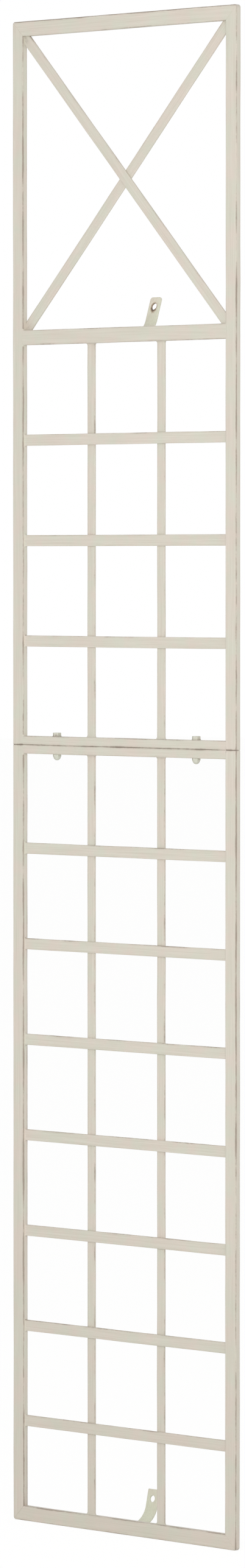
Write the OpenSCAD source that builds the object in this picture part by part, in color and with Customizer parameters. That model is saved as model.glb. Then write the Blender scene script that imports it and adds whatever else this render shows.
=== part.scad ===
// Espalier frame: a tall wall trellis of painted flat steel in two welded panels.
// The upper panel carries a crossed brace over a lattice, the lower panel a plain
// lattice. Two bolts clamp the panels end to end, and two bent straps hold the
// frame off the wall. Millimetres. X runs to the right, the front faces -Y, Z is up.
// The origin lies under the middle of the bottom rail, halfway through its depth.

/* [Frame bars] */
// Overall width across the outer faces of the stiles
frame_w = 420; // [340:5:520]
// Face width of the stiles
stile_w = 20; // [16:1:30]
// Face height of the top, middle and bottom rails
rail_h = 20; // [16:1:30]
// Depth of the stiles and rails, front to back
frame_t = 8; // [7:0.5:12]
// Radius of the outer corners, where the mitred bars are welded and ground
corner_r = 4; // [2:0.5:7]
// Radius of the worn long edges of the frame bars
frame_arris = 1; // [0.4:0.1:2]

/* [Upper panel] */
// Clear height of the opening that holds the crossed brace
brace_opening_h = 394; // [300:2:460]
// Clear height of each lattice row
upper_row_h = 120; // [90:1:150]

/* [Lower panel] */
// Clear height of the row under the joint
lower_first_row_h = 120; // [90:1:150]
// Clear height of the rows between two slats
lower_row_h = 114; // [90:1:150]
// Clear height of the row over the bottom rail
lower_last_row_h = 108; // [90:1:150]

/* [Lattice] */
// Face height of a slat
slat_w = 15; // [10:1:20]
// Thickness of a slat
slat_t = 2.5; // [2:0.25:4]
// Face width of an upright
upright_w = 14; // [10:1:20]
// Thickness of an upright
upright_t = 2.5; // [2:0.25:4]
// Face width of a brace bar
brace_w = 15; // [10:1:20]
// Thickness of a brace bar
brace_t = 2.5; // [2:0.25:4]
// How far the slats and the front brace bar lie behind the front of the frame
lattice_setback = 3; // [1.5:0.25:4]
// Radius of the long edges of the lattice bars
lattice_arris = 0.6; // [0.2:0.1:0.9]

/* [Panel joint] */
// Side of the square bars that meet at the joint
joint_bar = 12; // [10:0.5:16]
// Distance from the inner face of a stile to the axis of its bolt
bolt_inset = 59; // [30:1:80]
// Nominal diameter of the bolts
bolt_d = 6; // [5:1:8]
// Extra diameter of the drilled holes over the bolts
bolt_clearance = 0.6; // [0.2:0.1:1]
// Hexagon of the bolt heads, across the flats
head_af = 10; // [10:0.5:13]
// Height of the bolt heads
head_h = 4; // [3:0.5:6]
// Diameter of the washers
washer_d = 12; // [11:0.5:16]
// Thickness of the washers
washer_t = 1.2; // [0.8:0.1:2]
// Length of thread inside a cap nut
thread_in_nut = 4.4; // [3:0.1:4.8]
// Hexagon of the cap nuts, across the flats
nut_af = 10; // [10:0.5:13]
// Height of the hexagon part of a cap nut
nut_hex_h = 3.2; // [2:0.1:4]
// Overall height of a cap nut
nut_h = 7.8; // [7.4:0.1:9]
// Gap on each side between a bolt and its nut
thread_gap = 0.05; // [0.02:0.01:0.1]

/* [Wall straps] */
// Width of a strap
strap_w = 20; // [16:1:26]
// Thickness of a strap
strap_t = 2.5; // [2:0.25:4]
// Straight leg from the back of the rail to the bend
strap_leg = 18; // [10:1:30]
// Inner radius of the bend
strap_bend_r = 28; // [15:1:36]
// How far the upper strap's tab leans back from upright, in degrees
upper_tab_lean = 18; // [0:1:30]
// Straight length of the upper strap's tab
upper_tab_l = 32; // [26:1:45]
// How far the lower strap's tab leans back from upright, in degrees
lower_tab_lean = 12; // [0:1:30]
// Straight length of the lower strap's tab
lower_tab_l = 22.5; // [20:0.5:45]
// Diameter of the screw hole
screw_hole_d = 9; // [5:0.5:11]
// Distance from the end of a tab to the middle of its hole
hole_from_end = 13; // [8:0.5:14]
// Radius of the two corners at the end of the upper strap's tab
upper_tab_corner_r = 4; // [1:0.5:7]
// Radius of the two corners at the end of the lower strap's tab
lower_tab_corner_r = 1.5; // [1:0.5:7]

/* [Hidden] */
$fn = 48;
paint = "#d6d1c4";
cut = 1;

upper_slats = 3;
lower_slats = 7;

// Depths
front = -frame_t / 2;
back = frame_t / 2;
lattice_front = front + lattice_setback;
slat_y = lattice_front + slat_t / 2;
upright_y = lattice_front + slat_t + upright_t / 2;
front_brace_y = lattice_front + brace_t / 2;
rear_brace_y = front_brace_y + brace_t;
joint_y = front + joint_bar / 2;

// Widths
half_w = frame_w / 2;
inner_w = frame_w - 2 * stile_w;
half_inner = inner_w / 2;
column_w = (inner_w - 2 * upright_w) / 3;
upright_x = (column_w + upright_w) / 2;
bolt_x = half_inner - bolt_inset;

// Heights, from the ground up
lower_rows_h = lower_first_row_h + (lower_slats - 1) * lower_row_h + lower_last_row_h;
lower_bar_z = rail_h + lower_rows_h + lower_slats * slat_w;
seam_z = lower_bar_z + joint_bar;
upper_bar_top = seam_z + joint_bar;
middle_z = upper_bar_top + (upper_slats + 1) * upper_row_h + upper_slats * slat_w;
middle_top = middle_z + rail_h;
top_z = middle_top + brace_opening_h;
frame_h = top_z + rail_h;

// Section of a bar: w across, t deep, with rounded edges, centred on the origin
module bar_section(w, t, r) {
    square([w - 2 * r, t], center = true);
    square([w, t - 2 * r], center = true);
    for (x = [-1, 1], y = [-1, 1])
        translate([x * (w / 2 - r), y * (t / 2 - r)])
            circle(r);
}

// Bar that stands on z0 and ends at z1
module upright_bar(x, y, z0, z1, w, t, r) {
    translate([x, y, z0])
        linear_extrude(z1 - z0)
            bar_section(w, t, r);
}

// Bar that lies along X, centred on the frame
module level_bar(y, z, length, w, t, r) {
    translate([-length / 2, y, z])
        rotate([0, 90, 0])
            linear_extrude(length)
                bar_section(w, t, r);
}

// Plate that is as thick as asked, front to back, cut from a shape drawn in X and Z
module plate(y, t) {
    translate([0, y + t / 2, 0])
        rotate([90, 0, 0])
            linear_extrude(t)
                children();
}

// Outline of a panel, with its own corner radius below and above
module panel_outline(z0, z1, r0, r1) {
    translate([-half_w, z0 + r0])
        square([frame_w, z1 - z0 - r0 - r1]);
    translate([-half_w + r0, z0])
        square([frame_w - 2 * r0, r0]);
    translate([-half_w + r1, z1 - r1])
        square([frame_w - 2 * r1, r1]);
    for (x = [-1, 1]) {
        translate([x * (half_w - r0), z0 + r0])
            circle(r0);
        translate([x * (half_w - r1), z1 - r1])
            circle(r1);
    }
}

module upper_outline() {
    panel_outline(seam_z, frame_h, frame_arris, corner_r);
}

module lower_outline() {
    panel_outline(0, seam_z, corner_r, frame_arris);
}

// Stile of the upper panel, mitred at the top to meet the rail. side is -1 left, 1 right.
module upper_stile(side) {
    color(paint)
        intersection() {
            upright_bar(side * (half_w - stile_w / 2), 0, seam_z, frame_h, stile_w, frame_t, frame_arris);
            plate(0, frame_t + 2 * cut)
                intersection() {
                    upper_outline();
                    polygon([
                        [side * half_w, seam_z], [side * half_w, frame_h],
                        [side * half_inner, top_z], [side * half_inner, seam_z]
                    ]);
                }
        }
}

// Stile of the lower panel, mitred at the bottom
module lower_stile(side) {
    color(paint)
        intersection() {
            upright_bar(side * (half_w - stile_w / 2), 0, 0, seam_z, stile_w, frame_t, frame_arris);
            plate(0, frame_t + 2 * cut)
                intersection() {
                    lower_outline();
                    polygon([
                        [side * half_w, 0], [side * half_w, seam_z],
                        [side * half_inner, seam_z], [side * half_inner, rail_h]
                    ]);
                }
        }
}

// Rail across the top, mitred at both ends
module top_rail() {
    color(paint)
        intersection() {
            level_bar(0, top_z + rail_h / 2, frame_w, rail_h, frame_t, frame_arris);
            plate(0, frame_t + 2 * cut)
                intersection() {
                    upper_outline();
                    polygon([
                        [-half_w, frame_h], [half_w, frame_h],
                        [half_inner, top_z], [-half_inner, top_z]
                    ]);
                }
        }
}

// Rail across the bottom, mitred at both ends
module bottom_rail() {
    color(paint)
        intersection() {
            level_bar(0, rail_h / 2, frame_w, rail_h, frame_t, frame_arris);
            plate(0, frame_t + 2 * cut)
                intersection() {
                    lower_outline();
                    polygon([
                        [-half_w, 0], [half_w, 0],
                        [half_inner, rail_h], [-half_inner, rail_h]
                    ]);
                }
        }
}

// Rail between the crossed brace and the lattice, butted between the stiles
module middle_rail() {
    color(paint)
        level_bar(0, middle_z + rail_h / 2, inner_w, rail_h, frame_t, frame_arris);
}

// Square bar that closes a panel at the joint, drilled for the two bolts
module joint_bar_at(z) {
    color(paint)
        difference() {
            level_bar(joint_y, z + joint_bar / 2, inner_w, joint_bar, joint_bar, frame_arris);
            for (side = [-1, 1])
                translate([side * bolt_x, joint_y, z - cut])
                    cylinder(d = bolt_d + bolt_clearance, h = joint_bar + 2 * cut);
        }
}

// Lattice upright, welded to the backs of the slats it crosses
module upright(side, z0, z1) {
    color(paint)
        upright_bar(side * upright_x, upright_y, z0, z1, upright_w, upright_t, lattice_arris);
}

// Lattice slat from stile to stile, with its lower edge at z
module slat_at(z) {
    color(paint)
        level_bar(slat_y, z + slat_w / 2, inner_w, slat_w, slat_t, lattice_arris);
}

// Slats count from the top row down
module upper_slat(n) {
    slat_at(middle_z - n * (upper_row_h + slat_w));
}

module lower_slat(n) {
    slat_at(lower_bar_z - lower_first_row_h - slat_w - (n - 1) * (lower_row_h + slat_w));
}

// Brace bar from corner to corner of its opening, its ends cut to fit the corner.
// rise is 1 where the bar climbs to the right and -1 where it falls.
module brace_bar(y, rise) {
    angle = atan2(brace_opening_h, inner_w);
    length = sqrt(pow(brace_opening_h, 2) + pow(inner_w, 2)) + 2 * brace_w;
    color(paint)
        intersection() {
            translate([0, y, middle_top + brace_opening_h / 2])
                rotate([0, 90 - rise * angle, 0])
                    translate([0, 0, -length / 2])
                        linear_extrude(length)
                            bar_section(brace_w, brace_t, lattice_arris);
            plate(y, brace_t + 2 * cut)
                translate([-half_inner, middle_top])
                    square([inner_w, brace_opening_h]);
        }
}

// Side view of a strap, drawn as depth and height from the middle of its weld on the rail:
// a straight leg, one bend and a straight tab that leans back
module strap_side(lean, tab_l) {
    outer_r = strap_bend_r + strap_t;
    translate([0, -strap_t / 2])
        square([strap_leg, strap_t]);
    translate([strap_leg, strap_t / 2 + strap_bend_r]) {
        difference() {
            intersection() {
                circle(outer_r);
                translate([0, -outer_r])
                    square(outer_r);
            }
            circle(strap_bend_r);
            rotate(-lean)
                square(2 * outer_r);
        }
        rotate(-lean)
            translate([strap_bend_r, 0])
                square([strap_t, tab_l]);
    }
}

// What is ground off the end of a tab to round its two corners
module tab_end_waste(tab_l, r) {
    difference() {
        translate([-strap_w / 2 - cut, tab_l - r])
            square([strap_w + 2 * cut, r + cut]);
        translate([-strap_w / 2 + r, tab_l - r - cut])
            square([strap_w - 2 * r, r + 2 * cut]);
        for (x = [-1, 1])
            translate([x * (strap_w / 2 - r), tab_l - r])
                circle(r);
    }
}

// Wall strap: welded square to the back of a rail, bent up in one sweep to its tab,
// with the end of the tab rounded and drilled for a screw
module wall_strap(rail_z, lean, tab_l, tab_corner_r) {
    color(paint)
        translate([0, back, rail_z + rail_h / 2])
            difference() {
                translate([-strap_w / 2, 0, 0])
                    rotate([90, 0, 90])
                        linear_extrude(strap_w)
                            strap_side(lean, tab_l);
                translate([0, strap_leg, strap_t / 2 + strap_bend_r])
                    rotate([-lean, 0, 0])
                        translate([0, strap_bend_r, 0]) {
                            plate(strap_t / 2, strap_t + 2 * cut)
                                tab_end_waste(tab_l, tab_corner_r);
                            translate([0, -cut, tab_l - hole_from_end])
                                rotate([-90, 0, 0])
                                    cylinder(d = screw_hole_d, h = strap_t + 2 * cut);
                        }
            }
}

// Hexagon of the given height that stands on z = 0, its top edges turned to a chamfer
module chamfered_hexagon(af, h) {
    corner = af / sqrt(3);
    chamfer = corner - af / 2;
    intersection() {
        cylinder(r = corner, h = h, $fn = 6);
        rotate_extrude()
            polygon([[0, 0], [corner, 0], [corner, h - chamfer], [af / 2, h], [0, h]]);
    }
}

// Bolt, head up on its washer, down through both joint bars into the cap nut
module bolt(side) {
    seat = upper_bar_top + washer_t;
    shank = washer_t + 2 * joint_bar + thread_in_nut;
    color(paint)
        translate([side * bolt_x, joint_y, seat]) {
            chamfered_hexagon(head_af, head_h);
            translate([0, 0, -shank])
                cylinder(d = bolt_d, h = shank + cut);
        }
}

module washer(side) {
    color(paint)
        translate([side * bolt_x, joint_y, upper_bar_top])
            difference() {
                cylinder(d = washer_d, h = washer_t);
                translate([0, 0, -cut])
                    cylinder(d = bolt_d + bolt_clearance, h = washer_t + 2 * cut);
            }
}

// Low cap nut: a short hexagon closed by a dome, drilled blind from its seat
module cap_nut(side) {
    dome_r = nut_af / 2;
    color(paint)
        translate([side * bolt_x, joint_y, lower_bar_z])
            difference() {
                union() {
                    mirror([0, 0, 1])
                        chamfered_hexagon(nut_af, nut_hex_h);
                    translate([0, 0, dome_r - nut_h])
                        intersection() {
                            sphere(dome_r);
                            translate([-nut_af, -nut_af, -2 * nut_af])
                                cube([2 * nut_af, 2 * nut_af, 2 * nut_af]);
                        }
                }
                translate([0, 0, -thread_in_nut - thread_gap])
                    cylinder(d = bolt_d + 2 * thread_gap, h = thread_in_nut + thread_gap + cut);
            }
}

upper_stile(-1);  // upper_left_stile
upper_stile(1);  // upper_right_stile
top_rail();
middle_rail();
joint_bar_at(seam_z);  // upper_joint_bar
upright(-1, upper_bar_top, middle_z);  // upper_left_upright
upright(1, upper_bar_top, middle_z);  // upper_right_upright
upper_slat(1);  // upper_slat_1
upper_slat(2);  // upper_slat_2
upper_slat(3);  // upper_slat_3
brace_bar(rear_brace_y, 1);  // rear_brace_bar
brace_bar(front_brace_y, -1);  // front_brace_bar
wall_strap(middle_z, upper_tab_lean, upper_tab_l, upper_tab_corner_r);  // upper_wall_strap
lower_stile(-1);  // lower_left_stile
lower_stile(1);  // lower_right_stile
bottom_rail();
joint_bar_at(lower_bar_z);  // lower_joint_bar
upright(-1, rail_h, lower_bar_z);  // lower_left_upright
upright(1, rail_h, lower_bar_z);  // lower_right_upright
lower_slat(1);  // lower_slat_1
lower_slat(2);  // lower_slat_2
lower_slat(3);  // lower_slat_3
lower_slat(4);  // lower_slat_4
lower_slat(5);  // lower_slat_5
lower_slat(6);  // lower_slat_6
lower_slat(7);  // lower_slat_7
wall_strap(0, lower_tab_lean, lower_tab_l, lower_tab_corner_r);  // lower_wall_strap
bolt(-1);  // left_bolt
bolt(1);  // right_bolt
washer(-1);  // left_washer
washer(1);  // right_washer
cap_nut(-1);  // left_cap_nut
cap_nut(1);  // right_cap_nut
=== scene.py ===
import math

import bmesh
import bpy
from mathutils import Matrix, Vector


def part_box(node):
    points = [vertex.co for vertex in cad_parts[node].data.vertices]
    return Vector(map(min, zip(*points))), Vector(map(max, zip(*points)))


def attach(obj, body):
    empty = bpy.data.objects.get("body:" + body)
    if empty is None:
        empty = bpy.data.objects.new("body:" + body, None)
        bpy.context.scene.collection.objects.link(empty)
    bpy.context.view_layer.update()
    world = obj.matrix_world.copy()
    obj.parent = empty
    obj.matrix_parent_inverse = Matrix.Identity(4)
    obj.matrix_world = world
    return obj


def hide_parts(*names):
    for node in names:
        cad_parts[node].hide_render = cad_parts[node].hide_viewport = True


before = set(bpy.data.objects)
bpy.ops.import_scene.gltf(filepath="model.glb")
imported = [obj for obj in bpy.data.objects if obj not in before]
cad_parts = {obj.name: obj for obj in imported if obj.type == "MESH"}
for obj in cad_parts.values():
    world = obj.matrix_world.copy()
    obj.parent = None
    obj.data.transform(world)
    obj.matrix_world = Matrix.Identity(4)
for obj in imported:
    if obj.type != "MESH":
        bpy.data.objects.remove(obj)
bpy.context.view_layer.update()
mm = 0.001


# Stiles: four flat steel bars, 20 by 8 mm, at the sides of the two panels.
# Each is mitred where it meets the top or bottom rail, welded, and ground to a small
# radius at the corner. The square ends meet at the joint between the panels.
arris, arris_steps = 1.0 * mm, 3
corner_r, mitre_groove = 4 * mm, 0.35 * mm
rub_reach, weld_fade = 3 * mm, 2 * mm
division = 25 * mm
frame_low = Vector((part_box("lower_left_stile")[0].x, 0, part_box("bottom_rail")[0].z))
frame_high = Vector((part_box("upper_right_stile")[1].x, 0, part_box("top_rail")[1].z))
# The axes along, across and into an upright bar, and how near two places are that touch.
X, Y, Z = 0, 1, 2
standing = (Z, X, Y)
touching = 0.01 * mm


def linear(colour):
    """A written sRGB colour as the linear one that a shader takes."""
    parts = [int(colour[i:i + 2], 16) / 255 for i in (1, 3, 5)]
    return [c / 12.92 if c <= 0.04045 else ((c + 0.055) / 1.055) ** 2.4 for c in parts] + [1]


def add_node(tree, kind, settings, inputs):
    """Adds a node with its settings, and fills or links its sockets, by name or by number.
    A Mix node's two colours are its inputs 6 and 7, and the mixed colour is its output 2."""
    node = tree.nodes.new("ShaderNode" + kind)
    for name, value in settings.items():
        setattr(node, name, value)
    for name, value in inputs.items():
        if isinstance(value, bpy.types.NodeSocket):
            tree.links.new(value, node.inputs[name])
        else:
            node.inputs[name].default_value = value
    return node


def cream_paint(name, tints=("#dcd2c7", "#d6d5c7"), bottom_shade=0.16, rust_at=None, rust_lean=0.0):
    """Cream oil paint, brushed along each steel bar: warm and nearly matt, with fine brush lines,
    faint weathered tints, and edges rubbed thin to grey-brown. Rust bleeds from a bare hole."""
    material = bpy.data.materials.new(name)
    material.use_nodes = True
    tree = material.node_tree
    shader = tree.nodes["Principled BSDF"]
    place = add_node(tree, "TexCoord", {}, {}).outputs["Object"]
    grain = add_node(tree, "Attribute", {"attribute_name": "grain"}, {}).outputs["Vector"]
    wear_and_shade = add_node(tree, "Attribute", {"attribute_name": "wear_and_shade"}, {}).outputs["Fac"]

    # Brush lines run along the bar, with a finer set between them that shows only close up.
    brush_l, brush_w = 90 * mm, 1.4 * mm
    line_place = add_node(tree, "Mapping", {}, {
        "Vector": grain, "Scale": (1 / brush_l, 1 / brush_w, 1 / brush_w)})
    lines = add_node(tree, "TexNoise", {}, {
        "Vector": line_place.outputs[0], "Scale": 1, "Detail": 4, "Roughness": 0.6})
    line_depth = add_node(tree, "MapRange", {}, {
        "Value": lines.outputs[0], "From Min": 0.3, "From Max": 0.7})
    line_shade = add_node(tree, "Mix", {"data_type": "RGBA"}, {
        "Factor": line_depth.outputs[0], 6: linear("#f2f0ed"), 7: linear("#ffffff")})
    hair_l, hair_w = 40 * mm, 0.5 * mm
    hair_place = add_node(tree, "Mapping", {}, {
        "Vector": grain, "Scale": (1 / hair_l, 1 / hair_w, 1 / hair_w)})
    hairs = add_node(tree, "TexNoise", {}, {"Vector": hair_place.outputs[0], "Scale": 1, "Detail": 2})

    # Weather has left soft patches, from pinkish to greenish grey.
    patch_size = 30 * mm
    patches = add_node(tree, "TexNoise", {}, {
        "Vector": place, "Scale": 1 / patch_size, "Detail": 3, "Roughness": 0.55})
    patch = add_node(tree, "MapRange", {}, {
        "Value": patches.outputs[0], "From Min": 0.36, "From Max": 0.64})
    tint = add_node(tree, "Mix", {"data_type": "RGBA"}, {
        "Factor": patch.outputs[0], 6: linear(tints[0]), 7: linear(tints[1])})
    coat = add_node(tree, "Mix", {"data_type": "RGBA", "blend_type": "MULTIPLY"}, {
        "Factor": 1.0, 6: tint.outputs[2], 7: line_shade.outputs[2]})

    # A thin grey-brown film is painted over the lowest part of the frame, up to 600 mm: painted shade that
    # darkens it towards the floor.
    bottom_shade_top = 600 * mm
    height = add_node(tree, "SeparateXYZ", {}, {"Vector": place}).outputs["Z"]
    low_down = add_node(tree, "MapRange", {}, {
        "Value": height, "From Min": bottom_shade_top, "From Max": 0.0, "To Max": bottom_shade})
    bottom_shaded = add_node(tree, "Mix", {"data_type": "RGBA"}, {
        "Factor": low_down.outputs[0], 6: coat.outputs[2], 7: linear("#b0a496")})

    # Handling has greyed the paint near the edges, and rubbed it through along the edge itself,
    # in runs of 20 to 60 mm with a slightly ragged border.
    run_l, run_w, crumb = 50 * mm, 12 * mm, 3 * mm
    run_place = add_node(tree, "Mapping", {}, {
        "Vector": grain, "Scale": (1 / run_l, 1 / run_w, 1 / run_w)})
    runs = add_node(tree, "TexNoise", {}, {
        "Vector": run_place.outputs[0], "Scale": 1, "Detail": 4, "Roughness": 0.6})
    run = add_node(tree, "MapRange", {}, {
        "Value": runs.outputs[0], "From Min": 0.3, "From Max": 0.7, "To Min": -0.38, "To Max": 0.18})
    ragged = add_node(tree, "TexNoise", {}, {"Vector": place, "Scale": 1 / crumb, "Detail": 3})
    border = add_node(tree, "MapRange", {}, {"Value": ragged.outputs[0], "To Min": -0.2, "To Max": 0.2})
    # The same attribute also carries painted shade in some corners and at the fastener seats, which greys
    # and darkens the paint there too.
    rubbed = add_node(tree, "Math", {"operation": "ADD"}, {0: wear_and_shade, 1: run.outputs[0]})
    rubbed_edge = add_node(tree, "Math", {"operation": "ADD"}, {0: rubbed.outputs[0], 1: border.outputs[0]})
    greyed = add_node(tree, "MapRange", {"interpolation_type": "SMOOTHSTEP"}, {
        "Value": rubbed.outputs[0], "From Min": 0.0, "From Max": 1.0, "To Max": 0.5})
    worn = add_node(tree, "MapRange", {"interpolation_type": "SMOOTHSTEP"}, {
        "Value": rubbed_edge.outputs[0], "From Min": 0.4, "From Max": 0.85, "To Max": 0.85})
    soiled = add_node(tree, "Mix", {"data_type": "RGBA"}, {
        "Factor": greyed.outputs[0], 6: bottom_shaded.outputs[2], 7: linear("#b5a99b")})
    bare = add_node(tree, "Mix", {"data_type": "RGBA"}, {
        "Factor": ragged.outputs[0], 6: linear("#84776a"), 7: linear("#a09387")})
    colour = add_node(tree, "Mix", {"data_type": "RGBA"}, {
        "Factor": worn.outputs[0], 6: soiled.outputs[2], 7: bare.outputs[2]}).outputs[2]

    if rust_at is not None:
        # The stain hangs down a little from the hole, light brown at its rim and dark at the bare steel.
        stain_drop, bleed, bleed_size = 1.2 * mm, 3 * mm, 4 * mm
        stain_edge, stain_full = 8.6 * mm, 5.6 * mm
        light_edge, dark_edge = 7.4 * mm, 5.4 * mm
        hole_place = add_node(tree, "Mapping", {"vector_type": "TEXTURE"}, {
            "Vector": place, "Location": rust_at, "Rotation": (-rust_lean, 0, 0)})
        hole_flat = add_node(tree, "Mapping", {}, {
            "Vector": hole_place.outputs[0], "Location": (0, 0, stain_drop), "Scale": (1, 0, 0.8)})
        away = add_node(tree, "VectorMath", {"operation": "LENGTH"}, {0: hole_flat.outputs[0]})
        bleeding = add_node(tree, "TexNoise", {}, {"Vector": place, "Scale": 1 / bleed_size, "Detail": 4})
        spread = add_node(tree, "Math", {"operation": "MULTIPLY_ADD"}, {
            0: bleeding.outputs[0], 1: bleed, 2: away.outputs["Value"]})
        rust = add_node(tree, "MapRange", {"interpolation_type": "SMOOTHSTEP"}, {
            "Value": spread.outputs[0], "From Min": stain_edge, "From Max": stain_full, "To Max": 0.9})
        depth = add_node(tree, "MapRange", {}, {
            "Value": spread.outputs[0], "From Min": light_edge, "From Max": dark_edge})
        brown = add_node(tree, "Mix", {"data_type": "RGBA"}, {
            "Factor": depth.outputs[0], 6: linear("#a5825f"), 7: linear("#5a4430")})
        colour = add_node(tree, "Mix", {"data_type": "RGBA"}, {
            "Factor": rust.outputs[0], 6: colour, 7: brown.outputs[2]}).outputs[2]

    tree.links.new(colour, shader.inputs["Base Color"])
    rough = add_node(tree, "MapRange", {}, {"Value": worn.outputs[0], "To Min": 0.5, "To Max": 0.68})
    tree.links.new(rough.outputs[0], shader.inputs["Roughness"])
    shader.inputs["IOR"].default_value = 1.47
    shader.inputs["Specular IOR Level"].default_value = 0.4

    # Relief: brush lines a few hundredths of a millimetre high, and the step where paint is gone.
    relief_h = 0.08 * mm
    relief = add_node(tree, "Math", {"operation": "MULTIPLY_ADD"}, {
        0: hairs.outputs[0], 1: 0.4, 2: lines.outputs[0]})
    step = add_node(tree, "Math", {"operation": "MULTIPLY_ADD"}, {
        0: worn.outputs[0], 1: -1.0, 2: relief.outputs[0]})
    bump = add_node(tree, "Bump", {}, {"Height": step.outputs[0], "Strength": 0.5, "Distance": relief_h})
    tree.links.new(bump.outputs[0], shader.inputs["Normal"])
    return material


brushed_paint = cream_paint("cream_oil_paint_brushed_on_steel")
# Rolled bar is never quite straight: it is out by up to 0.3 mm, in waves about 70 mm long.
rolled = bpy.data.textures.new("rolled_bar_unevenness", "CLOUDS")
rolled.cloud_type = "COLOR"
rolled.noise_scale = 70 * mm
unevenness = 0.6 * mm


def open_bar(name, low, high):
    """Adds a bar that fills the box from low to high, and leaves it open in edit mode."""
    bpy.ops.object.select_all(action="DESELECT")
    bpy.ops.mesh.primitive_cube_add(size=1, location=(low + high) / 2, scale=high - low)
    bar = bpy.context.object
    bar.name = bar.data.name = name
    bpy.ops.object.transform_apply(location=True, rotation=True, scale=True)
    bpy.ops.object.mode_set(mode="EDIT")
    return bar


def choose(piece, kind, test):
    """Selects those of a piece's verts, edges or faces that pass the test, and nothing else."""
    bpy.ops.mesh.select_mode(type={"verts": "VERT", "edges": "EDGE", "faces": "FACE"}[kind])
    bpy.ops.mesh.select_all(action="DESELECT")
    mesh = bmesh.from_edit_mesh(piece.data)
    for part in getattr(mesh, kind):
        if test(part):
            part.select_set(True)
    mesh.select_flush_mode()
    bmesh.update_edit_mesh(piece.data)


def saw(at, facing, off=False):
    """Cuts the open piece along a plane: a line across its faces, or all in front sawn off."""
    bpy.ops.mesh.select_all(action="SELECT")
    bpy.ops.mesh.bisect(plane_co=at, plane_no=facing, use_fill=off, clear_outer=off,
                        threshold=touching / 10)


def saw_mitre(corner, inward, end, keep):
    """Saws a mitre at a corner of the frame, and grinds the corner round in a few small flats.
    keep is 1 for a stile and -1 for a rail."""
    saw(corner, (keep * inward, 0, keep * end), off=True)
    middle = corner + Vector((inward * corner_r, 0, -end * corner_r))
    for turn in (7.5, 22.5, 37.5):
        turn = math.radians(turn if keep == 1 else 90 - turn)
        out = Vector((-inward * math.cos(turn), 0, end * math.sin(turn)))
        saw(middle + out * corner_r, out, off=True)


def round_mitred_bar(bar, depth, mitres):
    """Rounds the long front and back edges, and leaves a fine groove where a mitre is welded."""
    def on_mitre(edge):
        return any(all(abs((vert.co - corner).dot(facing)) < touching for vert in edge.verts)
                   for corner, facing in mitres)
    choose(bar, "edges", lambda edge: not on_mitre(edge) and
           all(abs(abs(vert.co.y) - depth) < touching for vert in edge.verts))
    bpy.ops.mesh.bevel(offset=arris, segments=arris_steps, profile=0.5, affect="EDGES")
    choose(bar, "edges", on_mitre)
    bpy.ops.mesh.bevel(offset=mitre_groove, segments=1, affect="EDGES")


def saw_lines(axis, places):
    """Cuts a line round the open bar at each of these places along an axis."""
    facing = Vector((0, 0, 0))
    facing[axis] = 1
    for place in places:
        saw(facing * place, facing)


def edge_lines(low, high, axes):
    """Cuts a line just inside each long edge, so that wear can fade out towards the face."""
    for axis in axes:
        saw_lines(axis, (low[axis] + rub_reach, high[axis] - rub_reach))


def divide_along(piece, axis):
    """Halves the long edges of a bar until they are short, so that it can be a little uneven."""
    def long_edge(edge):
        way = edge.verts[1].co - edge.verts[0].co
        return abs(way[axis]) > 2 * division and abs(way[axis]) > 0.99 * way.length
    choose(piece, "edges", long_edge)
    while any(edge.select for edge in bmesh.from_edit_mesh(piece.data).edges):
        bpy.ops.mesh.subdivide(number_cuts=1)
        choose(piece, "edges", long_edge)


def share_at(place, shares):
    """The share of wear at a place along a bar, between those listed as (place, share) pairs."""
    for (start, first), (stop, last) in zip(shares, shares[1:]):
        if start <= place < stop:
            return first + (last - first) * (place - start) / (stop - start)
    return 1


def mark_wear(piece, low, high, order, amount, near=0.5, back=0.6, shares=(),
              seam=None, inner=None, fills=()):
    """Notes on each vertex how near it is to a worn edge, and its place along, across and into the bar,
    which are the axes in order. near and back are the shares of wear of the left or lower edge and of
    the back, and shares change it along the bar. A seam is a worn end. At the inner edge of a stile,
    between the heights in fills, a cross bar is welded in and there is no long edge to wear."""
    wear_and_shade = piece.data.attributes.new("wear_and_shade", "FLOAT", "POINT")
    grain = piece.data.attributes.new("grain", "FLOAT_VECTOR", "POINT")
    along, across, into = order
    for i, vert in enumerate(piece.data.vertices):
        gap = max(min(abs(vert.co[a] - low[a]), abs(vert.co[a] - high[a])) for a in (across, into))
        wear = max(0, 1 - gap / rub_reach) * share_at(vert.co[along], shares)
        if vert.co[across] < (low[across] + high[across]) / 2:
            wear *= near
        if inner is not None and abs(vert.co.x - inner) < rub_reach + touching and any(
                bottom - touching < vert.co.z < top + touching for bottom, top in fills):
            wear = 0
        if seam is not None:
            wear = max(wear, 1 - abs(vert.co[along] - seam) / rub_reach)
        if vert.co.y > (low.y + high.y) / 2:
            wear *= back
        wear_and_shade.data[i].value = amount * wear
        grain.data[i].vector = [vert.co[a] for a in order]


def alone(piece):
    """Selects one piece, and nothing else, and makes it the active one."""
    bpy.ops.object.select_all(action="DESELECT")
    piece.select_set(True)
    bpy.context.view_layer.objects.active = piece


def finish_bar(piece, node, material):
    """Leaves a shaped piece as straight as hand work is, smooths its faces, paints it and puts it
    in the frame. What is welded together bends together, so the joints stay closed."""
    alone(piece)
    bent = piece.modifiers.new("bent", "DISPLACE")
    bent.texture = rolled
    bent.texture_coords = "LOCAL"
    bent.direction = "RGB_TO_XYZ"
    bent.strength = unevenness
    bpy.ops.object.modifier_apply(modifier=bent.name)
    bpy.ops.object.shade_smooth_by_angle(angle=math.radians(32))
    piece.data.materials.clear()
    piece.data.materials.append(material)
    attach(piece, "root")
    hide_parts(node)


def copy_of(piece, name, move=(0, 0, 0)):
    """A copy of a piece with a mesh of its own, moved to its place."""
    alone(piece)
    bpy.ops.object.duplicate(linked=False)
    copy = bpy.context.object
    copy.name = copy.data.name = name
    bpy.ops.transform.translate(value=move)
    bpy.ops.object.transform_apply(location=True, rotation=False, scale=False)
    return copy


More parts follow.
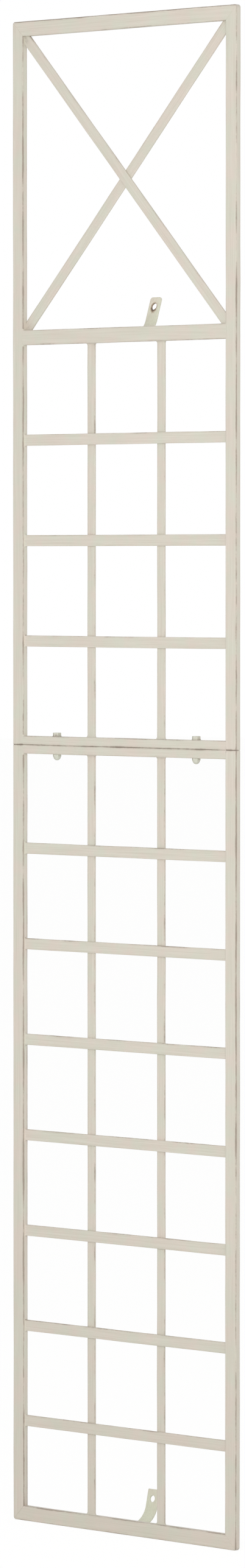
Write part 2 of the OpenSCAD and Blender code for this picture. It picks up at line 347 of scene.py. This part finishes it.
def mirrored_copy(piece, name):
    """A copy of a left-hand piece turned into a right-hand one."""
    copy = copy_of(piece, name)
    bpy.ops.object.mode_set(mode="EDIT")
    bpy.ops.mesh.select_all(action="SELECT")
    bpy.ops.transform.resize(value=(-1, 1, 1), center_override=(0, 0, 0))
    bpy.ops.mesh.normals_make_consistent(inside=False)
    bpy.ops.object.mode_set(mode="OBJECT")
    return copy


# Handling has rubbed the stiles more at some heights, in metres, than at others.
left_shares = ((-0.1, 1.7), (0.1, 1.1), (0.15, 0.9), (0.4, 1.0), (0.75, 1.15), (0.9, 0.9),
               (1.35, 0.95), (1.5, 1.15), (1.75, 0.9), (1.85, 1.1), (2.1, 0.8))
right_shares = ((-0.1, 0.5), (0.05, 1.25), (0.1, 0.95), (0.5, 0.85), (0.65, 1.3), (0.8, 1.3), (0.9, 1.0),
                (1.0, 1.2), (1.15, 0.85), (1.35, 0.85), (1.5, 1.1), (1.75, 0.85), (2.1, 0.85))
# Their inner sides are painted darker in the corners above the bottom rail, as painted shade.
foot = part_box("bottom_rail")[1].z
foot_corner_shade, foot_shade_reach = 0.5, 160 * mm
for panel, end, cross_bars in (("upper", 1, ("middle_rail", "upper_joint_bar")),
                               ("lower", -1, ("lower_joint_bar",))):
    low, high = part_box(f"{panel}_left_stile")
    seam = low.z if end == 1 else high.z
    corner = Vector((frame_low.x, 0, frame_high.z if end == 1 else frame_low.z))
    left = open_bar(f"stile_{panel}_left", low, high)
    saw_mitre(corner, 1, end, keep=1)
    round_mitred_bar(left, high.y, [(corner, Vector((1, 0, end)).normalized())])
    edge_lines(low, high, (X, Y))
    saw_lines(Z, [seam + end * rub_reach])
    fills = [(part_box(node)[0].z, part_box(node)[1].z) for node in cross_bars]
    for bottom, top in fills:
        saw_lines(Z, (bottom - weld_fade, bottom, top, top + weld_fade))
    divide_along(left, Z)
    bpy.ops.object.mode_set(mode="OBJECT")
    right = mirrored_copy(left, f"stile_{panel}_right")
    left_back, right_back = (0.72, 0.25) if panel == "upper" else (1, 0.6)
    for bar, side, shares, back in ((left, "left", left_shares, left_back),
                                    (right, "right", right_shares, right_back)):
        node = f"{panel}_{side}_stile"
        low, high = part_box(node)
        inner = high.x if side == "left" else low.x
        mark_wear(bar, low, high, standing, amount=1, near=0.48, back=back, shares=shares,
                  seam=seam, inner=inner, fills=fills)
        # The inner face is painted darker just above the bottom rail, fading out upwards: painted shade.
        for vert, wear_and_shade in zip(bar.data.vertices, bar.data.attributes["wear_and_shade"].data):
            if abs(vert.co.x - inner) < touching:
                wear_and_shade.value = max(wear_and_shade.value, foot_corner_shade * (1 - (vert.co.z - foot) / foot_shade_reach))
        finish_bar(bar, node, brushed_paint)


# Top and bottom rails: the same flat bar, mitred at both ends and welded to the stiles.
# Their upper edges carry the most wear and dirt.
level = (X, Z, Y)
for name, end, amount in (("top", 1, 1.05), ("bottom", -1, 0.92)):
    low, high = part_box(f"{name}_rail")
    bar = open_bar(f"rail_{name}", low, high)
    mitres = []
    for inward, outer in ((1, frame_low.x), (-1, frame_high.x)):
        corner = Vector((outer, 0, high.z if end == 1 else low.z))
        saw_mitre(corner, inward, end, keep=-1)
        mitres.append((corner, Vector((inward, 0, end)).normalized()))
    round_mitred_bar(bar, high.y, mitres)
    edge_lines(low, high, (Y, Z))
    divide_along(bar, X)
    bpy.ops.object.mode_set(mode="OBJECT")
    mark_wear(bar, low, high, level, amount, near=0.75)
    finish_bar(bar, f"{name}_rail", brushed_paint)


# Middle rail: flat bar butted between the stiles, welded, and ground flush at the front,
# so that its ends fill the rounded edges of the stiles.
weld_fill = 1.4 * mm


def open_cross_bar(name, node):
    """A level bar between the stiles, its ends run on into the ground welds."""
    low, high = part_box(node)
    low.x -= weld_fill
    high.x += weld_fill
    return open_bar(name, low, high), low, high


def round_long_edges(bar, axis, radius, steps):
    """Rounds the four edges of a new bar that run along an axis."""
    choose(bar, "edges", lambda edge: abs(edge.verts[0].co[axis] - edge.verts[1].co[axis]) > touching)
    bpy.ops.mesh.bevel(offset=radius, segments=steps, profile=0.5, affect="EDGES")


bar, low, high = open_cross_bar("rail_middle", "middle_rail")
round_long_edges(bar, X, arris, arris_steps)
edge_lines(low, high, (Y, Z))
divide_along(bar, X)
bpy.ops.object.mode_set(mode="OBJECT")
mark_wear(bar, low, high, level, amount=0.74, near=1)
finish_bar(bar, "middle_rail", brushed_paint)


# Joint bars: 12 mm square bars that close each panel, drilled for the two bolts.
# They stand out behind the stiles, and their rubbed edges meet in a dark seam.
bolt_low, bolt_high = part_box("right_bolt")
bolt_axis = (bolt_low + bolt_high) / 2
drill_r, drill_l = 3.3 * mm, 60 * mm


def add_cylinder(name, radius, length, middle, sides=32, turn=(0, 0, 0)):
    """Adds a round bar about its middle, upright unless it is turned."""
    bpy.ops.object.select_all(action="DESELECT")
    bpy.ops.mesh.primitive_cylinder_add(vertices=sides, radius=radius, depth=length,
                                        location=middle, rotation=turn)
    cylinder = bpy.context.object
    cylinder.name = cylinder.data.name = name
    bpy.ops.object.transform_apply(location=True, rotation=True, scale=True)
    return cylinder


def shape_with(piece, tool, how):
    """Cuts, trims or joins a piece with another shape, which is then thrown away."""
    alone(piece)
    trim = piece.modifiers.new("trim", "BOOLEAN")
    trim.operation = how
    trim.object = tool
    bpy.ops.object.modifier_apply(modifier=trim.name)
    bpy.data.objects.remove(tool)


upper, low, high = open_cross_bar("joint_bar_upper", "upper_joint_bar")
round_long_edges(upper, X, arris, arris_steps)
edge_lines(low, high, (Y, Z))
divide_along(upper, X)
bpy.ops.object.mode_set(mode="OBJECT")
for side in (-1, 1):
    drill = add_cylinder("drill", drill_r, drill_l, (side * bolt_axis.x, bolt_axis.y, low.z))
    shape_with(upper, drill, "DIFFERENCE")
drop = Vector((0, 0, low.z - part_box("lower_joint_bar")[0].z))
lower = copy_of(upper, "joint_bar_lower", -drop)
mark_wear(upper, low, high, level, amount=0.74, near=1.15)
mark_wear(lower, low - drop, high - drop, level, amount=0.8, near=0.7)
finish_bar(upper, "upper_joint_bar", brushed_paint)
finish_bar(lower, "lower_joint_bar", brushed_paint)


# Lattice uprights: thin flat bars, 14 by 2.5 mm, welded to the rails and to the backs of the slats.
# The paint has filled the small fillet welds at their ends.
lattice_arris, lattice_steps = 0.6 * mm, 2
weld_leg = 3 * mm
throat_at, throat_share = 0.4, 0.25
upright_weld = (1.4 * mm, 0.5 * mm, 0)


def swell_end(bar, axis, end, inward, size, grow, pivot):
    """Draws an end of a thin bar out into a painted fillet weld, hollow in profile."""
    throat = end + inward * throat_at * weld_leg
    saw_lines(axis, (end + inward * weld_leg, throat))
    for place, share in ((throat, throat_share), (end, 1)):
        choose(bar, "verts", lambda vert: abs(vert.co[axis] - place) < touching)
        value = [1 if a == axis else 1 + 2 * share * grow[a] / size[a] for a in (X, Y, Z)]
        bpy.ops.transform.resize(value=value, center_override=pivot)


def swell_ends(bar, axis, low, high, grow, pivot):
    """Gives a thin bar a fillet weld at both ends."""
    swell_end(bar, axis, low[axis], 1, high - low, grow, pivot)
    swell_end(bar, axis, high[axis], -1, high - low, grow, pivot)


for panel, amount in (("upper", 0.6), ("lower", 0.67)):
    low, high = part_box(f"{panel}_left_upright")
    left = open_bar(f"upright_{panel}_left", low, high)
    round_long_edges(left, Z, lattice_arris, lattice_steps)
    edge_lines(low, high, (X,))
    divide_along(left, Z)
    swell_ends(left, Z, low, high, upright_weld, ((low.x + high.x) / 2, high.y, 0))
    bpy.ops.object.mode_set(mode="OBJECT")
    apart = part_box(f"{panel}_right_upright")[0].x - low.x
    right = copy_of(left, f"upright_{panel}_right", (apart, 0, 0))
    for bar, side in ((left, "left"), (right, "right")):
        node = f"{panel}_{side}_upright"
        mark_wear(bar, *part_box(node), standing, amount)
        finish_bar(bar, node, brushed_paint)


# Slats: thin flat bars, 15 by 2.5 mm, that run from stile to stile in front of the uprights.
# They are welded at both ends, and all ten are the same length.
slat_weld = (0, 0.9 * mm, 1.4 * mm)
slats = [f"upper_slat_{n}" for n in range(1, 4)] + [f"lower_slat_{n}" for n in range(1, 8)]
low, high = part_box(slats[0])
first = open_bar("slat_upper_1", low, high)
round_long_edges(first, X, lattice_arris, lattice_steps)
edge_lines(low, high, (Z,))
divide_along(first, X)
swell_ends(first, X, low, high, slat_weld, (low + high) / 2)
bpy.ops.object.mode_set(mode="OBJECT")
rest = [copy_of(first, "slat_" + node.replace("_slat", ""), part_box(node)[0] - low)
        for node in slats[1:]]
for bar, node in zip([first] + rest, slats):
    mark_wear(bar, *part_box(node), level, amount=0.58 if node.startswith("upper") else 0.73)
    finish_bar(bar, node, brushed_paint)


# Crossed brace: two thin flat bars from corner to corner of the top opening, welded into the
# corners. The front bar falls to the right, and the rear one rises behind it.
# Their ends are painted darker in the corners, as painted shade.
brace_w = 15 * mm
brace_corner_shade, corner_shade_l, corner_shade_fade = 0.4, 10 * mm, 12 * mm
opening_low = Vector((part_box("middle_rail")[0].x, 0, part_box("middle_rail")[1].z))
opening_high = Vector((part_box("middle_rail")[1].x, 0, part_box("top_rail")[0].z))
middle = (opening_low + opening_high) / 2
opening = opening_high - opening_low
slope = math.atan2(opening.z, opening.x)
reach = math.hypot(opening.x, opening.z) / 2
corner_shade_start = reach - corner_shade_l
for node, rise in (("front_brace_bar", -1), ("rear_brace_bar", 1)):
    front, back = (place.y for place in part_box(node))
    low = Vector((-reach - brace_w, front, middle.z - brace_w / 2))
    high = Vector((reach + brace_w, back, middle.z + brace_w / 2))
    bar = open_bar("brace_" + node.split("_")[0], low, high)
    round_long_edges(bar, X, lattice_arris, lattice_steps)
    edge_lines(low, high, (Z,))
    saw_lines(X, (-corner_shade_start, -corner_shade_start + corner_shade_fade, corner_shade_start - corner_shade_fade, corner_shade_start))
    divide_along(bar, X)
    bpy.ops.object.mode_set(mode="OBJECT")
    mark_wear(bar, low, high, level, amount=0.6)
    # The ends in the corners are painted darker, as painted shade.
    for vert, wear_and_shade in zip(bar.data.vertices, bar.data.attributes["wear_and_shade"].data):
        if abs(vert.co.x) > corner_shade_start - touching:
            wear_and_shade.value = max(wear_and_shade.value, brace_corner_shade)
    bpy.ops.object.mode_set(mode="EDIT")
    bpy.ops.mesh.select_all(action="SELECT")
    bpy.ops.transform.rotate(value=rise * slope, orient_axis="Y", center_override=middle)
    for at, facing in ((opening_low, (-1, 0, 0)), (opening_low, (0, 0, -1)),
                       (opening_high, (1, 0, 0)), (opening_high, (0, 0, 1))):
        saw(at, facing, off=True)
    bpy.ops.object.mode_set(mode="OBJECT")
    finish_bar(bar, node, brushed_paint)


# Wall straps: strips of the same steel, 20 by 2.5 mm, welded square to the backs of two rails.
# Each is bent up in one sweep to a tab that leans back, rounded at its end and drilled for a screw.
# Their paint is a lighter, slightly greener copy of the frame's: painted light for their upward-facing
# bends.
strap_w, strap_t = 20 * mm, 2.5 * mm
strap_leg, bend_r = 18 * mm, 28 * mm
strap_arris = 0.5 * mm
strap_weld = (1.2 * mm, 0, 1.6 * mm)
hole_r, hole_from_end, screw_drill_l = 4.5 * mm, 13 * mm, 20 * mm
lit_copy_tints = ("#e2dbcc", "#dddfcb")


def is_sharp(edge):
    """True for an edge where two faces meet at a clear angle."""
    return len(edge.link_faces) == 2 and edge.calc_face_angle() > math.radians(57)


for panel, rail, lean, tab, tab_corner in (("upper", "middle_rail", 18, 32 * mm, 4 * mm),
                                           ("lower", "bottom_rail", 12, 22.5 * mm, 1.5 * mm)):
    rail_low, rail_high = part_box(rail)
    root = Vector((0, rail_high.y, (rail_low.z + rail_high.z) / 2))
    lean = math.radians(lean)
    up = Vector((0, math.sin(lean), math.cos(lean)))
    back = Vector((0, math.cos(lean), -math.sin(lean)))
    strap = open_bar(f"wall_strap_{panel}", root - Vector((strap_w / 2, 0, strap_t / 2)),
                     root + Vector((strap_w / 2, strap_leg, strap_t / 2)))
    swell_end(strap, Y, root.y, 1, (strap_w, strap_leg, strap_t), strap_weld, root)
    bend_axis = root + Vector((0, strap_leg, strap_t / 2 + bend_r))
    choose(strap, "faces", lambda face: face.normal.y > 0.9)
    bpy.ops.mesh.spin(steps=16, angle=math.pi / 2 - lean, center=bend_axis, axis=(-1, 0, 0))
    bpy.ops.mesh.extrude_region_move(TRANSFORM_OT_translate={"value": up * tab})
    tab_end = bend_axis + up * tab
    choose(strap, "edges", lambda edge: abs(edge.verts[0].co.x - edge.verts[1].co.x) < touching and
           all(abs((vert.co - tab_end).dot(up)) < touching for vert in edge.verts))
    bpy.ops.mesh.bevel(offset=tab_corner, segments=6, affect="EDGES")
    bpy.ops.mesh.select_all(action="SELECT")
    bpy.ops.mesh.remove_doubles(threshold=touching / 10)
    bpy.ops.mesh.normals_make_consistent(inside=False)
    bpy.ops.object.mode_set(mode="OBJECT")
    hole = bend_axis + up * (tab - hole_from_end) + back * (bend_r + strap_t / 2)
    drill = add_cylinder("drill", hole_r, screw_drill_l, hole, sides=48, turn=(math.pi / 2 - lean, 0, 0))
    shape_with(strap, drill, "DIFFERENCE")
    bpy.ops.object.mode_set(mode="EDIT")
    choose(strap, "edges", lambda edge: is_sharp(edge) and
           not all(abs(vert.co.y - root.y) < touching for vert in edge.verts))
    bpy.ops.mesh.bevel(offset=strap_arris, segments=2, affect="EDGES", clamp_overlap=True)
    bpy.ops.object.mode_set(mode="OBJECT")
    mark_wear(strap, *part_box(f"{panel}_wall_strap"), standing, amount=0)
    # A lighter copy of the paint, as painted light, with no painted shade low down.
    if panel == "upper":
        paint = cream_paint("lit_copy_cream_oil_paint_rusted_at_hole", lit_copy_tints, bottom_shade=0,
                            rust_at=hole, rust_lean=lean)
    else:
        paint = cream_paint("lit_copy_cream_oil_paint", lit_copy_tints, bottom_shade=0)
    finish_bar(strap, f"{panel}_wall_strap", paint)


# Bolts: two M6 hexagon bolts, heads up, painted over with the frame.
# The top edges of the head are turned to a chamfer, and thick paint has softened its corners
# and greyed a little, as it does over zinc plating.
across_flats, head_h, bolt_r = 10 * mm, 4 * mm, 3 * mm
shank_chamfer = 0.6 * mm
paint_round, seat_shade_reach = 1.1 * mm, 0.6 * mm
fastener_paint = cream_paint("cream_oil_paint_on_zinc_plated_steel", ("#d1d0c3", "#cfd2c5"))


def hexagon(name, seat, height, up):
    """A hexagon that stands on its seat, its free edges turned to a chamfer and softened by paint."""
    head = add_cylinder(name, across_flats / math.sqrt(3), height,
                        seat + Vector((0, 0, up * height / 2)), sides=6)
    bpy.ops.object.select_all(action="DESELECT")
    turned = 2 * height
    bpy.ops.mesh.primitive_cone_add(vertices=64, radius1=across_flats / 2 + turned * math.sqrt(3),
                                    radius2=across_flats / 2, depth=turned,
                                    location=seat + Vector((0, 0, up * (height - turned / 2))),
                                    rotation=(0 if up > 0 else math.pi, 0, 0))
    shape_with(head, bpy.context.object, "INTERSECT")
    soften = head.modifiers.new("paint", "BEVEL")
    soften.width = paint_round
    soften.segments = 4
    soften.limit_method = "ANGLE"
    soften.angle_limit = math.radians(25)
    bpy.ops.object.modifier_apply(modifier=soften.name)
    return head


def paint_fastener(first, name, nodes, seat, amount, foot):
    """Copies the first of a pair of fasteners to the other side, and paints both. Round the foot, at the
    height of the seat, the paint is darker: painted shade where it meets the next part."""
    second = copy_of(first, name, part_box(nodes[1])[0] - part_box(nodes[0])[0])
    for piece, node in ((first, nodes[0]), (second, nodes[1])):
        wear_and_shade = piece.data.attributes.new("wear_and_shade", "FLOAT", "POINT")
        grain = piece.data.attributes.new("grain", "FLOAT_VECTOR", "POINT")
        for i, vert in enumerate(piece.data.vertices):
            wear_and_shade.data[i].value = foot if abs(vert.co.z - seat) < seat_shade_reach else amount
            grain.data[i].vector = vert.co.zxy
        finish_bar(piece, node, fastener_paint)


low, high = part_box("left_bolt")
axis = Vector(((low.x + high.x) / 2, (low.y + high.y) / 2, 0))
seat = high.z - head_h
bolt = hexagon("bolt_left", axis + Vector((0, 0, seat)), head_h, 1)
shank_top = high.z - head_h / 2
shank = add_cylinder("shank", bolt_r, shank_top - low.z, axis + Vector((0, 0, (shank_top + low.z) / 2)))
bpy.ops.object.mode_set(mode="EDIT")
choose(shank, "edges", lambda edge: all(abs(vert.co.z - low.z) < touching for vert in edge.verts))
bpy.ops.mesh.bevel(offset=shank_chamfer, segments=2, affect="EDGES")
bpy.ops.object.mode_set(mode="OBJECT")
shape_with(bolt, shank, "UNION")
paint_fastener(bolt, "bolt_right", ("left_bolt", "right_bolt"), seat, amount=0.25, foot=0.7)


# Washers: flat stamped rings under the bolt heads, with slightly rounded rims.
# They were painted over with the bolts, and have lost more of their paint.
rim_round = 0.3 * mm
low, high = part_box("left_washer")
middle = (low + high) / 2
washer_r = (high.x - low.x) / 2
washer = add_cylinder("washer_left", washer_r, high.z - low.z, middle, sides=48)
bpy.ops.object.mode_set(mode="EDIT")
choose(washer, "faces", lambda face: abs(face.normal.z) > 0.9)
bpy.ops.mesh.inset(thickness=washer_r - drill_r)
bpy.ops.mesh.delete(type="FACE")
choose(washer, "edges", lambda edge: edge.is_boundary)
bpy.ops.mesh.bridge_edge_loops()
choose(washer, "edges", lambda edge: is_sharp(edge) and
       all((vert.co - middle).xy.length > washer_r - touching for vert in edge.verts))
bpy.ops.mesh.bevel(offset=rim_round, segments=2, affect="EDGES")
bpy.ops.mesh.select_all(action="SELECT")
bpy.ops.mesh.normals_make_consistent(inside=False)
bpy.ops.object.mode_set(mode="OBJECT")
paint_fastener(washer, "washer_right", ("left_washer", "right_washer"), low.z, amount=0.6, foot=0.9)


# Cap nuts: low domed nuts on the bolt ends, under the lower joint bar.
# A short hexagon carries a pressed dome that covers the end of the thread.
nut_hex_h, thread_gap = 3.2 * mm, 0.05 * mm
dome_r = across_flats / 2
low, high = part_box("left_cap_nut")
axis = Vector(((low.x + high.x) / 2, (low.y + high.y) / 2, 0))
seat = axis + Vector((0, 0, high.z))
nut = hexagon("cap_nut_left", seat, nut_hex_h, -1)
dome_middle = axis + Vector((0, 0, low.z + dome_r))
bpy.ops.object.select_all(action="DESELECT")
bpy.ops.mesh.primitive_uv_sphere_add(segments=48, ring_count=24, radius=dome_r, location=dome_middle)
dome = bpy.context.object
bpy.ops.object.transform_apply(location=True, rotation=True, scale=True)
bpy.ops.object.mode_set(mode="EDIT")
saw(dome_middle, (0, 0, 1), off=True)
bpy.ops.object.mode_set(mode="OBJECT")
shape_with(nut, dome, "UNION")
thread_l = high.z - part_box("left_bolt")[0].z + thread_gap
thread = add_cylinder("thread", bolt_r + thread_gap, 2 * thread_l, seat)
shape_with(nut, thread, "DIFFERENCE")
paint_fastener(nut, "cap_nut_right", ("left_cap_nut", "right_cap_nut"), high.z, amount=0.2, foot=0.5)


# Studio: a pale floor under the frame, an even white surround, and one broad soft lamp
# from the front right, as in a bright photographer's tent.
def seen_directly(tree):
    """1 where the eye, a reflection or a view through glass meets the surface, 0 for its bounced light."""
    path = add_node(tree, "LightPath", {}, {})
    direct = add_node(tree, "Math", {"operation": "MAXIMUM"}, {
        0: path.outputs["Is Camera Ray"], 1: path.outputs["Is Glossy Ray"]})
    return add_node(tree, "Math", {"operation": "MAXIMUM"}, {
        0: direct.outputs[0], 1: path.outputs["Is Transmission Ray"]}).outputs[0]


bpy.ops.object.select_all(action="DESELECT")
bpy.ops.mesh.primitive_plane_add(size=60, location=(0, 0, 0))
floor = bpy.context.object
floor.name = "floor"
floor_paint = bpy.data.materials.new("pale_matt_floor_paint")
floor_paint.use_nodes = True
tree = floor_paint.node_tree
shader = tree.nodes["Principled BSDF"]
shader.inputs["Base Color"].default_value = linear("#f4f4f2")
shader.inputs["Roughness"].default_value = 0.9
shader.inputs["Specular IOR Level"].default_value = 0.1
white = add_node(tree, "Emission", {}, {"Color": (1, 1, 1, 1), "Strength": 1.05})
veil = add_node(tree, "Math", {"operation": "MULTIPLY"}, {0: seen_directly(tree), 1: 0.85})
mixed = add_node(tree, "MixShader", {}, {0: veil.outputs[0], 1: shader.outputs[0], 2: white.outputs[0]})
tree.links.new(mixed.outputs[0], tree.nodes["Material Output"].inputs["Surface"])
floor.data.materials.append(floor_paint)

world = bpy.data.worlds.new("white_surround")
bpy.context.scene.world = world
world.use_nodes = True
tree = world.node_tree
surround = tree.nodes["Background"]
surround.inputs["Color"].default_value = (1, 1, 1, 1)
surround.inputs["Strength"].default_value = 0.675
backdrop = add_node(tree, "Background", {}, {"Color": (1, 1, 1, 1), "Strength": 1.0})
mixed = add_node(tree, "MixShader", {}, {
    0: seen_directly(tree), 1: surround.outputs[0], 2: backdrop.outputs[0]})
tree.links.new(mixed.outputs[0], tree.nodes["World Output"].inputs["Surface"])

lamp_aim = Vector((0, 0, 1.0))
bpy.ops.object.light_add(type="AREA", location=(3.3, -3.9, 1.7))
lamp = bpy.context.object
lamp.name = "soft_lamp"
lamp.data.shape = "DISK"
lamp.data.size = 3.5
lamp.data.energy = 118
lamp.rotation_euler = (lamp_aim - lamp.location).to_track_quat("-Z", "Y").to_euler()


# Camera: at chest height to the front right, far off with a long lens, as for the photograph.
# Its place and angles are fitted to the corners and crossings of the bars.
photo_w, photo_h, focal_px, sensor_w = 402, 2576, 11164, 36
stand_off, azimuth, eye_height = 9.017, math.radians(45.24), 1.2915
yaw, pitch = math.radians(45.26), math.radians(-1.85)
eye = (stand_off * math.sin(azimuth), -stand_off * math.cos(azimuth), eye_height)
bpy.ops.object.camera_add(location=eye, rotation=(math.pi / 2 + pitch, 0, yaw))
camera = bpy.context.object
camera.data.sensor_width = sensor_w
camera.data.lens = focal_px * sensor_w / max(photo_w, photo_h)
camera.data.clip_end = 100
bpy.context.scene.camera = camera
bpy.context.scene.view_settings.view_transform = "Standard"
